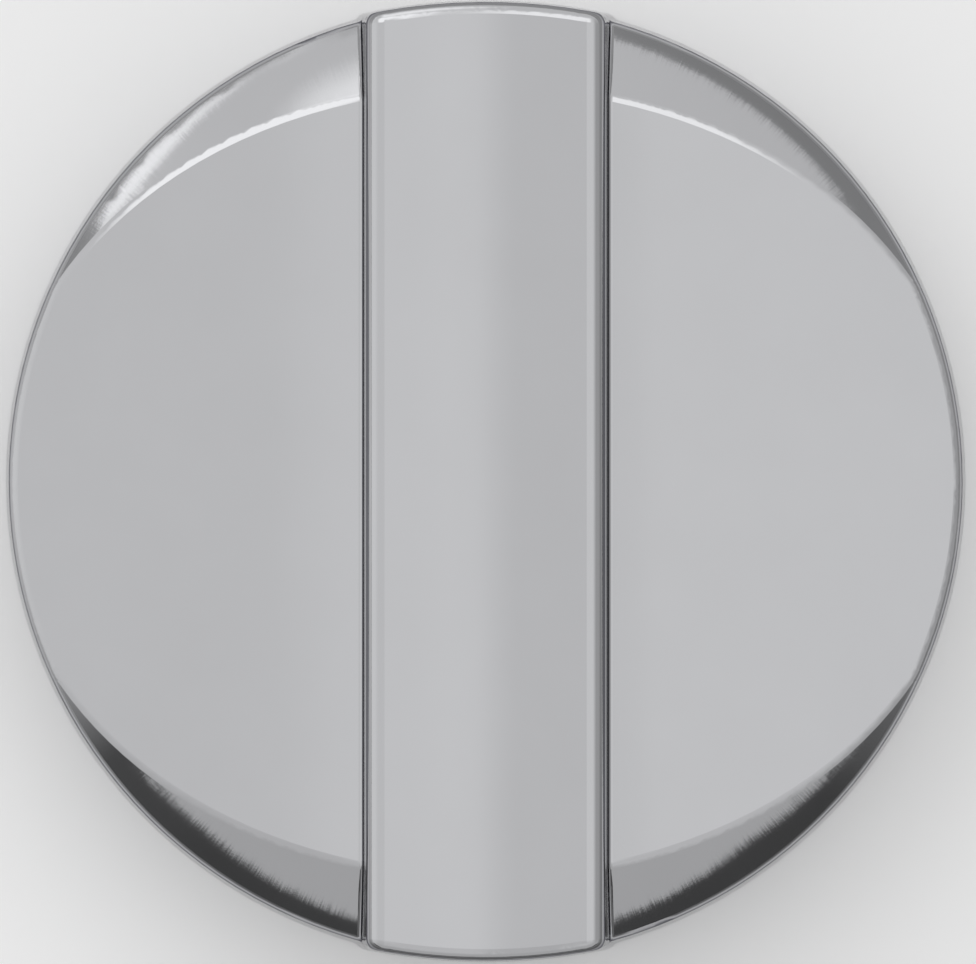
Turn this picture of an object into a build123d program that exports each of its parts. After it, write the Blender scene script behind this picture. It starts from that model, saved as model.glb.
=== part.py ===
from build123d import *
import os
from math import radians, tan

# Control knob with a full-width grip bar, for a round shaft with a flat.
# The origin is the centre of the back rim, +Z points out of the face and the
# grip bar runs along Y. All sizes are in millimetres and degrees.

# Skirt: the round outer wall, which leans in towards the face
rim_radius = 21.0
skirt_height = 8.5
skirt_lean = 0.43  # how far the wall comes in over its height
shoulder_round = 0.7  # between the wall and the flank
back_wall = 2.0  # thickness of the skirt at the back edge

# Flank: the gently bulging cone between the wall and the wings
flank_width = 4.1
flank_rise = 3.4
flank_bulge_radius = 25.0

# Wings: one shallow barrel surface whose axis lies along the bar
wing_height = 11.5  # at the crest, which the bar covers
wing_drop = 3.4  # from the crest to the wall on either side
wing_round = 0.6  # along the edge of each wing
wing_wall = 1.8  # thickness of the face

# Grip bar
bar_height = 17.0
bar_top_width = 10.1
bar_overhang = 0.05  # of the foot of each end past the rim
bar_draft = 2.2  # on its sides and its ends
bar_end_radius = 25.5  # plan radius of the ends, flatter than the rim
bar_crown_radius = 57.0  # the top is slightly crowned
bar_side_round = 0.85  # along the top of each side
bar_end_round = 0.5  # up and over each end
bar_foot_round = 0.22

# Back: hollow round a central boss, with a pocket up inside the bar
cavity_draft = 1.5
bar_side_wall = 1.6  # on each side of the pocket, at the bar's top
bar_end_wall = 2.9  # past each end of the pocket, at the bar's foot
bar_top_wall = 1.9
pocket_corner = 1.2
boss_radius = 7.2
boss_recess = 1.0  # from the back edge to the end of the boss
rib_count = 4
rib_thickness = 1.2
rib_recess = 2.2

# Hub: the moulded insert that takes the shaft
hub_radius = 5.45
hub_fit = 0.05  # all round, between the hub and its socket
hub_length = 8.0  # above its flange
hub_end_gap = 0.2
flange_radius = 7.0
flange_thickness = 0.7
key_width = 2.0
key_reach = 0.9  # how far each key stands out of the hub
key_length = 5.5

# Shaft hole: round at the mouth, then with a flat
shaft_radius = 3.0
shaft_fit = 0.03
shaft_flat = 1.6  # from the shaft's axis to its flat
flat_fit = 0.05
flat_relief = 0.2  # the hole is this much wider beside and behind the flat
round_depth = 3.5  # of the round stretch, with its lead-in
hole_depth = 8.1
lead_in = 0.4

# Spring leaf, in a slot behind the flat
leaf_thickness = 0.35
leaf_width = 3.4
leaf_length = 4.0
leaf_bow = 0.3  # how far the middle stands off the back of its slot
leaf_fit = 0.1
slot_depth = 2.35  # from the axis to the back of the slot
barb_reach = 1.3
barb_height = 0.5

# Worked out from the sizes above
wall_top_radius = rim_radius - skirt_lean
wing_radius = (wall_top_radius**2 + wing_drop**2) / (2 * wing_drop)
wing_axis_height = wing_height - wing_radius
bar_reach = rim_radius + bar_overhang
bar_foot_width = bar_top_width + 2 * bar_height * tan(radians(bar_draft))
pocket_width = bar_top_width - 2 * bar_side_wall
pocket_length = 2 * (bar_reach - bar_end_wall)
cavity_radius = rim_radius - back_wall
socket_radius = hub_radius + hub_fit
flange_seat = boss_recess
flange_face = flange_seat - flange_thickness
hub_top = flange_seat + hub_length
socket_top = hub_top + hub_end_gap
hole_radius = shaft_radius + shaft_fit
relief_radius = hole_radius + flat_relief
flat_offset = shaft_flat + flat_fit
flat_start = flange_face + round_depth
hole_top = flange_face + hole_depth


def above_barrel(radius):
    """Section of everything above a barrel surface on the wings' axis."""
    with BuildSketch() as section:
        with Locations((0, wing_axis_height)):
            Rectangle(3 * rim_radius, radius + bar_height, align=(Align.CENTER, Align.MIN))
            Circle(radius, mode=Mode.SUBTRACT)
    return section.sketch


# The round form: a turned blank with the two wings cut across its face.
with BuildPart() as round_form:
    with BuildSketch(Plane.XZ) as section:
        with BuildLine():
            blank_height = skirt_height + flank_rise
            blank_radius = wall_top_radius - flank_width
            Polyline(
                (blank_radius, blank_height),
                (0, blank_height),
                (0, 0),
                (rim_radius, 0),
                (wall_top_radius, skirt_height),
            )
            RadiusArc(
                (wall_top_radius, skirt_height),
                (blank_radius, blank_height),
                -flank_bulge_radius,
            )
        make_face()
        shoulder = section.vertices().sort_by_distance((wall_top_radius, skirt_height))[0]
        fillet(shoulder, shoulder_round)
    revolve(axis=Axis.Z)
    with BuildSketch(Plane.XZ):
        add(above_barrel(wing_radius))
    extrude(amount=2 * rim_radius, both=True, mode=Mode.SUBTRACT)
    wing_face = round_form.faces().sort_by(Axis.Z)[-1]
    fillet(wing_face.edges(), wing_round)

# The grip bar: drafted all round, with a crowned top. The long edges of the
# top have the larger round, which runs out into the round of each end.
with BuildPart() as bar_form:
    with BuildSketch(Plane.XY):
        Rectangle(bar_foot_width, 3 * bar_reach)
        for side in (1, -1):
            with Locations((0, side * (bar_reach - bar_end_radius))):
                Circle(bar_end_radius, mode=Mode.INTERSECT)
    extrude(amount=1.1 * bar_height, taper=bar_draft)
    with BuildSketch(Plane.XZ):
        with Locations((0, bar_height - bar_crown_radius)):
            Circle(bar_crown_radius)
    extrude(amount=2 * bar_reach, both=True, mode=Mode.INTERSECT)
    bar_top = bar_form.faces().sort_by(Axis.Z)[-1]
    fillet(bar_top.edges().filter_by(Axis.Y), bar_side_round)
    for bar_end in (bar_form.faces().sort_by(Axis.Y)[0], bar_form.faces().sort_by(Axis.Y)[-1]):
        fillet(bar_end.edges().filter_by(lambda edge: edge.center().Z > 0), bar_end_round)

# The hollow in the back, with the boss and the ribs left standing in it.
with BuildPart() as hollow_form:
    with BuildSketch(Plane.XZ):
        with BuildLine():
            cavity_shoulder = skirt_height - wing_wall
            cavity_shoulder_radius = cavity_radius - cavity_shoulder * tan(radians(cavity_draft))
            cavity_top_radius = cavity_shoulder_radius - flank_width
            cavity_top = cavity_shoulder + flank_rise
            Polyline(
                (0, 0),
                (cavity_radius, 0),
                (cavity_shoulder_radius, cavity_shoulder),
                (cavity_top_radius, cavity_top),
                (0, cavity_top),
                close=True,
            )
        make_face()
    revolve(axis=Axis.Z)
    with BuildSketch(Plane.XZ):
        add(above_barrel(wing_radius - wing_wall))
    extrude(amount=2 * rim_radius, both=True, mode=Mode.SUBTRACT)
    with BuildSketch(Plane.XY):
        RectangleRounded(pocket_width, pocket_length, pocket_corner)
    extrude(amount=bar_height - bar_top_wall)
    with BuildSketch(Plane.XY.offset(boss_recess)):
        Circle(boss_radius)
    extrude(amount=socket_top - boss_recess, mode=Mode.SUBTRACT)
    with BuildSketch(Plane.XY.offset(rib_recess)):
        with PolarLocations(0, rib_count, start_angle=180 / rib_count):
            Rectangle(rim_radius, rib_thickness, align=(Align.MIN, Align.CENTER))
    extrude(amount=skirt_height, mode=Mode.SUBTRACT)

# Knob body: one die casting, chromed all over.
with BuildPart() as knob_body:
    add(round_form.part)
    add(bar_form.part)
    joins = new_edges(round_form.part, bar_form.part, combined=knob_body.part)
    fillet(joins.filter_by(lambda edge: edge.center().Z > 0), bar_foot_round)
    add(hollow_form.part, mode=Mode.SUBTRACT)
    with BuildSketch(Plane.XY):
        Circle(socket_radius)
    extrude(amount=socket_top, mode=Mode.SUBTRACT)
    with BuildSketch(Plane.XY):
        Rectangle(2 * (socket_radius + key_reach), key_width + 2 * hub_fit)
    extrude(amount=flange_seat + key_length + hub_end_gap, mode=Mode.SUBTRACT)
knob_body.part.label = "knob_body"

# Hub insert: moulded in plastic and pressed into the boss up to its flange.
with BuildPart() as hub_insert:
    with BuildSketch(Plane.XY.offset(flange_face)):
        Circle(flange_radius)
    extrude(amount=flange_thickness)
    with BuildSketch(Plane.XY.offset(flange_seat)):
        Circle(hub_radius)
    extrude(amount=hub_length)
    with BuildSketch(Plane.XY.offset(flange_seat)):
        Rectangle(2 * (hub_radius + key_reach), key_width)
    extrude(amount=key_length)
    with BuildSketch(Plane.XY.offset(flange_face)):
        Circle(hole_radius)
    extrude(amount=round_depth, mode=Mode.SUBTRACT)
    mouth = hub_insert.faces().sort_by(Axis.Z)[0].edges().sort_by(SortBy.RADIUS)[0]
    chamfer(mouth, lead_in)
    with BuildSketch(Plane.XY.offset(flat_start)):
        Circle(relief_radius)
        with Locations((0, flat_offset)):
            Rectangle(
                2 * relief_radius,
                relief_radius,
                align=(Align.CENTER, Align.MIN),
                mode=Mode.SUBTRACT,
            )
    extrude(amount=hole_top - flat_start, mode=Mode.SUBTRACT)
    # Slot for the spring leaf, and the notch that its barb springs into
    with BuildSketch(Plane.XY.offset(flat_start)):
        Rectangle(leaf_width + 2 * leaf_fit, slot_depth, align=(Align.CENTER, Align.MIN))
    extrude(amount=hole_top - flat_start, mode=Mode.SUBTRACT)
    with BuildSketch(Plane.XY.offset(flat_start)):
        Rectangle(
            leaf_width + 2 * leaf_fit,
            slot_depth + barb_reach + leaf_fit,
            align=(Align.CENTER, Align.MIN),
        )
    extrude(amount=barb_height + 2 * leaf_fit, mode=Mode.SUBTRACT)
hub_insert.part.label = "hub_insert"

# Shaft clip: a bowed leaf of spring steel with a barb at its foot.
with BuildPart() as shaft_clip:
    with BuildSketch(Plane.YZ):
        with BuildLine():
            leaf_foot = flat_start + leaf_fit
            leaf_back = slot_depth - leaf_fit / 2
            leaf_front = leaf_back - leaf_thickness
            leaf_middle = leaf_foot + leaf_length / 2
            back_curve = ThreePointArc(
                (leaf_back, leaf_foot),
                (leaf_back - leaf_bow, leaf_middle),
                (leaf_back, leaf_foot + leaf_length),
            )
            front_curve = ThreePointArc(
                (leaf_front, leaf_foot + leaf_length),
                (leaf_front - leaf_bow, leaf_middle),
                (leaf_front, leaf_foot),
            )
            Line(back_curve @ 1, front_curve @ 0)
            Line(front_curve @ 1, back_curve @ 0)
        make_face()
        with Locations((leaf_front, leaf_foot)):
            Rectangle(
                slot_depth + barb_reach - leaf_front,
                barb_height,
                align=(Align.MIN, Align.MIN),
            )
    extrude(amount=leaf_width / 2, both=True)
shaft_clip.part.label = "shaft_clip"

os.makedirs("parts", exist_ok=True)
for piece in (knob_body, hub_insert, shaft_clip):
    export_step(piece.part, f"parts/{piece.part.label}.step")
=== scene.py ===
import bmesh
import bpy
from math import pi
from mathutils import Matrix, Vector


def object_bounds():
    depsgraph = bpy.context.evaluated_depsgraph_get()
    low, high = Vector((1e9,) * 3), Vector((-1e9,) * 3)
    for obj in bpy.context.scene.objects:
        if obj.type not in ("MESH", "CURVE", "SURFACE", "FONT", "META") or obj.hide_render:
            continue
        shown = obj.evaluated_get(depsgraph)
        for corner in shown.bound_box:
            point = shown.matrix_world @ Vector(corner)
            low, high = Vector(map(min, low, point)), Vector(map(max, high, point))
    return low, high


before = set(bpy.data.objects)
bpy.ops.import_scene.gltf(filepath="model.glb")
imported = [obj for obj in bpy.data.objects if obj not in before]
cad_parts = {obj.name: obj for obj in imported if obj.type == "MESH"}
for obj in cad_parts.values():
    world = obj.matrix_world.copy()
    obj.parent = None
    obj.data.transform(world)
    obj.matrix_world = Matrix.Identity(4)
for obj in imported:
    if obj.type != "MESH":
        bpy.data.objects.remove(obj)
cad_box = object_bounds()


# Knob body: one zinc die casting with a round skirt and a full-width grip bar,
# buffed and then plated with bright chrome. The buffing wheel left hair lines
# that run outward down the flanks. The inside is dull, as it was cast.

class Wire:
    """The output of a node, written into sums as a plain value is."""

    def __init__(self, tree, socket=None):
        self.tree = tree
        self.socket = socket

    def add(self, kind, settings=(), inputs=(), output=0):
        """A new node: its settings first, then its sockets. Gives one output."""
        node = self.tree.nodes.new(kind)
        for name, value in dict(settings).items():
            if name == "stops":
                ramp = node.color_ramp.elements
                while len(ramp) < len(value):
                    ramp.new(0.5)
                for stop, (position, level) in zip(ramp, value):
                    stop.position = position
                    stop.color = (level, level, level, 1)
            else:
                setattr(node, name, value)
        for name, value in dict(inputs).items():
            if isinstance(value, Wire):
                self.tree.links.new(value.socket, node.inputs[name])
            else:
                node.inputs[name].default_value = value
        return Wire(self.tree, node.outputs[output] if node.outputs else None)

    def _sum(self, operation, left, right):
        return self.add("ShaderNodeMath", {"operation": operation}, {0: left, 1: right})

    def __add__(self, other):
        return self._sum("ADD", self, other)

    __radd__ = __add__

    def __sub__(self, other):
        return self._sum("SUBTRACT", self, other)

    def __rsub__(self, other):
        return self._sum("SUBTRACT", other, self)

    def __mul__(self, other):
        return self._sum("MULTIPLY", self, other)

    __rmul__ = __mul__


def new_finish(name):
    """An empty material, and a wire to start its nodes from."""
    finish = bpy.data.materials.new(name)
    finish.use_nodes = True
    finish.node_tree.nodes.clear()
    return finish, Wire(finish.node_tree)


def grain(place, scale, detail, roughness=0.5):
    """Noise from 0 to 1, with about this many grains to a unit of place."""
    return place.add(
        "ShaderNodeTexNoise",
        inputs={
            "Vector": place,
            "Scale": scale,
            "Detail": detail,
            "Roughness": roughness,
        },
        output="Fac",
    )


def blend(factor, under, over, how="MIX"):
    """Two colours: under where the factor is 0, and over where it is 1."""
    return factor.add(
        "ShaderNodeMix",
        {"data_type": "RGBA", "blend_type": how},
        {"Factor": factor, 6: under, 7: over},  # the colour sockets, A and B
        output=2,  # the colour result
    )


def component(vector, axis):
    """How far a vector goes along one axis."""
    return vector.add("ShaderNodeSeparateXYZ", inputs={0: vector}, output=axis)


def vector_maths(operation, vector, output=0, **inputs):
    """Vector maths on one vector, such as its length."""
    settings = {"operation": operation}
    return vector.add("ShaderNodeVectorMath", settings, {0: vector, **inputs}, output)


def bearing_of(across, back):
    """The angle round from the right, from -pi to pi."""
    return across.add("ShaderNodeMath", {"operation": "ARCTAN2"}, {0: back, 1: across})


def ease(value, start, end):
    """0 before start and 1 past end, with a soft change between them."""
    return value.add(
        "ShaderNodeMapRange",
        {"interpolation_type": "SMOOTHSTEP"},
        {"Value": value, "From Min": start, "From Max": end},
    )


chrome, wire = new_finish("bright chrome")
place = wire.add("ShaderNodeTexCoord", output="Object")
mottle = grain(place, 260.0, detail=3.0, roughness=0.55)
tone = blend(mottle, (0.545, 0.548, 0.562, 1), (0.569, 0.572, 0.588, 1))
fine_grain = grain(place, 9000.0, detail=2.0)

# The hair lines run outward from the middle, each of them about 1 mm long.
lines_per_radian = 440.0
lines_per_metre = 950.0
across = component(place, "X")
back = component(place, "Y")
spokes = wire.add(
    "ShaderNodeCombineXYZ",
    inputs={
        "X": lines_per_radian * bearing_of(across, back),
        "Y": lines_per_metre * vector_maths("LENGTH", place, "Value"),
    },
)
buffing = grain(spokes, 1.0, detail=4.0, roughness=0.7)
streaks = wire.add(  # the deepest of them, which are a little rougher
    "ShaderNodeMapRange",
    inputs={"Value": buffing, "From Min": 0.45, "From Max": 0.75},
)

# On the flanks, which slope by 34 to 46 degrees and so face up by 0.69 to 0.83,
# each of them tips the surface a little out or in.
most_tip = 0.06
facing_up = component(wire.add("ShaderNodeTexCoord", output="Normal"), "Z")
on_flank = ease(facing_up, 0.50, 0.60) * ease(0.90 - facing_up, 0.02, 0.08)
level_place = wire.add("ShaderNodeCombineXYZ", inputs={"X": across, "Y": back})
outward = vector_maths("NORMALIZE", level_place)
tip = vector_maths("SCALE", outward, Scale=most_tip * on_flank * (buffing - 0.5))
untouched = wire.add("ShaderNodeNewGeometry", output="Normal")
tipped = wire.add("ShaderNodeVectorMath", {"operation": "ADD"}, {0: untouched, 1: tip})
bump = wire.add(
    "ShaderNodeBump",
    inputs={
        "Strength": 0.03,
        "Distance": 0.00002,
        "Height": fine_grain,
        "Normal": vector_maths("NORMALIZE", tipped),
    },
)

# The hollow, and whatever faces down, was plated without any buffing.
hollow_radius = 0.0195  # between the skirt's two faces
hollow_height = 0.0082  # just under the lowest stretch of the wings
fade = 0.0003
height = component(place, "Z")
radius = vector_maths("LENGTH", level_place, "Value")
within = ease(hollow_radius - radius, 0.0, fade)
in_hollow = within * ease(hollow_height - height, 0.0, fade)
facing_down = ease(0.0 - facing_up, 0.2, 0.6)
as_cast = wire.add(
    "ShaderNodeMath", {"operation": "MAXIMUM"}, {0: in_hollow, 1: facing_down}
)
shine = wire.add(
    "ShaderNodeBsdfPrincipled",
    inputs={
        "Base Color": tone,
        "Metallic": 1.0,
        "Roughness": 0.035 + 0.03 * mottle + 0.05 * streaks + 0.25 * as_cast,
        "Specular Tint": (0.15, 0.15, 0.17, 1),
        "Normal": bump,
    },
)
wire.add("ShaderNodeOutputMaterial", inputs={"Surface": shine})
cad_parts["knob_body"].material_slots[0].material = chrome


# Hub insert: a black nylon moulding pressed into the casting's boss. It shows
# the fine texture of its mould, which mottles it in two near blacks.

nylon, wire = new_finish("black moulded nylon")
place = wire.add("ShaderNodeTexCoord", output="Object")
mould_texture = grain(place, 3500.0, detail=2.0)
tone = blend(mould_texture, (0.030, 0.030, 0.032, 1), (0.062, 0.062, 0.066, 1))
bump = wire.add(
    "ShaderNodeBump",
    inputs={"Strength": 0.35, "Distance": 0.00005, "Height": mould_texture},
)
skin = wire.add(
    "ShaderNodeBsdfPrincipled",
    inputs={
        "Base Color": tone,
        "Roughness": 0.48 + 0.14 * mould_texture,
        "Normal": bump,
    },
)
wire.add("ShaderNodeOutputMaterial", inputs={"Surface": skin})
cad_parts["hub_insert"].material_slots[0].material = nylon


# Shaft clip: a leaf of rolled spring steel, bowed so that it presses the shaft
# against the hole, with its barb sprung into a notch. The rolling left lines.

steel, wire = new_finish("rolled spring steel")
place = wire.add("ShaderNodeTexCoord", output="Object")
rolled = wire.add(
    "ShaderNodeMapping",
    inputs={"Vector": place, "Scale": (12.0, 12.0, 0.6)},
)
lines = grain(rolled, 900.0, detail=3.0)
tone = blend(lines, (0.36, 0.35, 0.33, 1), (0.58, 0.57, 0.55, 1))
bump = wire.add(
    "ShaderNodeBump",
    inputs={"Strength": 0.2, "Distance": 0.00003, "Height": lines},
)
leaf = wire.add(
    "ShaderNodeBsdfPrincipled",
    inputs={
        "Base Color": tone,
        "Metallic": 1.0,
        "Roughness": 0.28 + 0.16 * lines,
        "Normal": bump,
    },
)
wire.add("ShaderNodeOutputMaterial", inputs={"Surface": leaf})
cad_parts["shaft_clip"].material_slots[0].material = steel


# Studio: a round sheet of paper that the knob lies on, with painted shade beyond the knob,
# in a room of matt panels with three soft boxes behind the knob. None of it is the knob's.

floor_radius = 0.14
floor_height = cad_box[0].z
sheet = bpy.data.meshes.new("floor")
shape = bmesh.new()
bmesh.ops.create_circle(shape, cap_ends=True, segments=128, radius=floor_radius)
bmesh.ops.translate(shape, verts=shape.verts, vec=(0, 0, floor_height))
shape.to_mesh(sheet)
shape.free()
floor = bpy.data.objects.new("floor", sheet)
bpy.context.collection.objects.link(floor)


def panels(place, *stops):
    """Panels of these levels in a row, each fading into the next."""
    return place.add("ShaderNodeValToRGB", {"stops": stops}, {"Fac": place})


def grey(level):
    """The grey of this level, as a colour."""
    return (level, level, level, 1)


# The paper is pale round the knob. Beyond this it has painted shade, darkest at the front
# and lightest on the left, which the chrome's edges reflect.
pale_to = 0.030
dark_from = 0.052
paper, wire = new_finish("paper with painted shade")
place = wire.add("ShaderNodeTexCoord", output="Object")
bearing = bearing_of(component(place, "X"), component(place, "Y"))
# painted shade on the paper by bearing: darkest at the front, lightest on the left
painted_shade_tones = panels(
    bearing * (0.5 / pi) + 0.5,
    (0.00, 0.86),
    (0.10, 0.35),
    (0.17, 0.16),
    (0.36, 0.16),
    (0.50, 0.38),
    (0.75, 0.46),
    (0.90, 0.50),
    (1.00, 0.86),
)
reach = vector_maths("LENGTH", place, "Value")
tone = blend(ease(reach, pale_to, dark_from), grey(0.94), painted_shade_tones)
matt = wire.add(
    "ShaderNodeBsdfPrincipled",
    inputs={"Base Color": tone, "Roughness": 0.8},
)
wire.add("ShaderNodeOutputMaterial", inputs={"Surface": matt})
sheet.materials.append(paper)

world = bpy.data.worlds.new("studio")
bpy.context.scene.world = world
world.use_nodes = True
world.node_tree.nodes.clear()
wire = Wire(world.node_tree)
direction = wire.add("ShaderNodeTexCoord", output="Generated")
across = component(direction, "X")
back = component(direction, "Y")
up = component(direction, "Z")

# The ceiling is one row of panels from left to right, duller at the front.
ceiling = panels(
    0.5 * across + 0.5,
    (0.316, 0.845),
    (0.354, 0.856),
    (0.386, 0.898),
    (0.405, 0.920),
    (0.445, 0.930),
    (0.470, 0.947),
    (0.493, 0.935),
    (0.511, 0.858),
    (0.523, 0.815),
    (0.569, 0.815),
    (0.587, 0.830),
    (0.600, 0.890),
    (0.617, 0.925),
)
ceiling = blend(ease(0.0 - back, 0.1, 0.4), ceiling, grey(0.84), how="MULTIPLY")

# The walls, and the skirting below them, go round from the left by the front.
round_the_room = bearing_of(across, back) * (0.5 / pi) + 0.5
walls = panels(
    round_the_room,
    (0.00, 0.95),
    (0.10, 0.66),
    (0.15, 0.60),
    (0.40, 0.60),
    (0.47, 0.52),
    (0.50, 0.50),
    (0.56, 0.62),
    (0.62, 0.76),
    (0.75, 0.80),
    (0.86, 0.82),
    (0.93, 0.86),
    (1.00, 0.95),
)
skirting = panels(
    round_the_room,
    (0.00, 0.95),
    (0.06, 0.55),
    (0.10, 0.10),
    (0.15, 0.075),
    (0.385, 0.075),
    (0.42, 0.19),
    (0.44, 0.28),
    (0.50, 0.45),
    (0.60, 0.32),
    (0.70, 0.34),
    (0.75, 0.50),
    (0.80, 0.70),
    (0.84, 1.35),
    (0.90, 1.50),
    (0.925, 0.65),
    (0.97, 0.80),
    (1.00, 0.95),
)
above_edge = up + 0.07  # the edge of the paper is a little below the horizon
skirting_top = panels(
    round_the_room,
    (0.00, 0.10),
    (0.14, 0.155),
    (0.20, 0.11),
    (0.30, 0.11),
    (0.35, 0.165),
    (0.42, 0.10),
    (0.58, 0.12),
    (0.70, 0.09),
    (0.83, 0.05),
    (0.85, 0.075),
    (0.88, 0.115),
    (0.93, 0.09),
)
room = blend(ease(above_edge - skirting_top, -0.025, 0.025), skirting, walls)

# A low dull board stands on the left behind the knob, in front of the brightest
# skirting. Above them all, the walls fade into the ceiling.
board_top = panels(
    round_the_room,
    (0.80, 0.0),
    (0.83, 0.045),
    (0.88, 0.045),
    (0.90, 0.060),
    (0.92, 0.085),
    (0.96, 0.08),
    (0.98, 0.0),
)
room = blend(ease(board_top - above_edge, -0.02, 0.02), room, grey(0.40))
room = blend(ease(up, 0.35, 0.75), room, ceiling)


def soft_box(room, towards, edge, full, level):
    """A round soft box in this direction, which fades out from full to edge."""
    aim = towards[0] * across + towards[1] * back + towards[2] * up
    return blend(ease(aim, edge, full), room, grey(level))


# Three soft boxes behind the knob: high on the left, high on the right, low.
room = soft_box(room, (-0.447, 0.462, 0.766), edge=0.914, full=0.970, level=1.5)
room = soft_box(room, (0.287, 0.410, 0.866), edge=0.927, full=0.985, level=1.4)
room = soft_box(room, (-0.252, 0.878, 0.407), edge=0.940, full=0.998, level=1.35)
sky = wire.add("ShaderNodeBackground", inputs={"Color": room, "Strength": 1.0})
wire.add("ShaderNodeOutputWorld", inputs={"Surface": sky})

# The camera looks straight down on the knob from well above it.
camera_height = 0.62
camera_across = 0.0001
camera_back = -0.00003
frame_width = 0.04271
sensor_width = 36.0
camera_data = bpy.data.cameras.new("camera")
camera_data.sensor_width = sensor_width
camera_data.lens = sensor_width * camera_height / frame_width
camera = bpy.data.objects.new("camera", camera_data)
camera.location = (camera_across, camera_back, floor_height + camera_height)
bpy.context.collection.objects.link(camera)
bpy.context.scene.camera = camera
bpy.context.scene.view_settings.view_transform = "Standard"
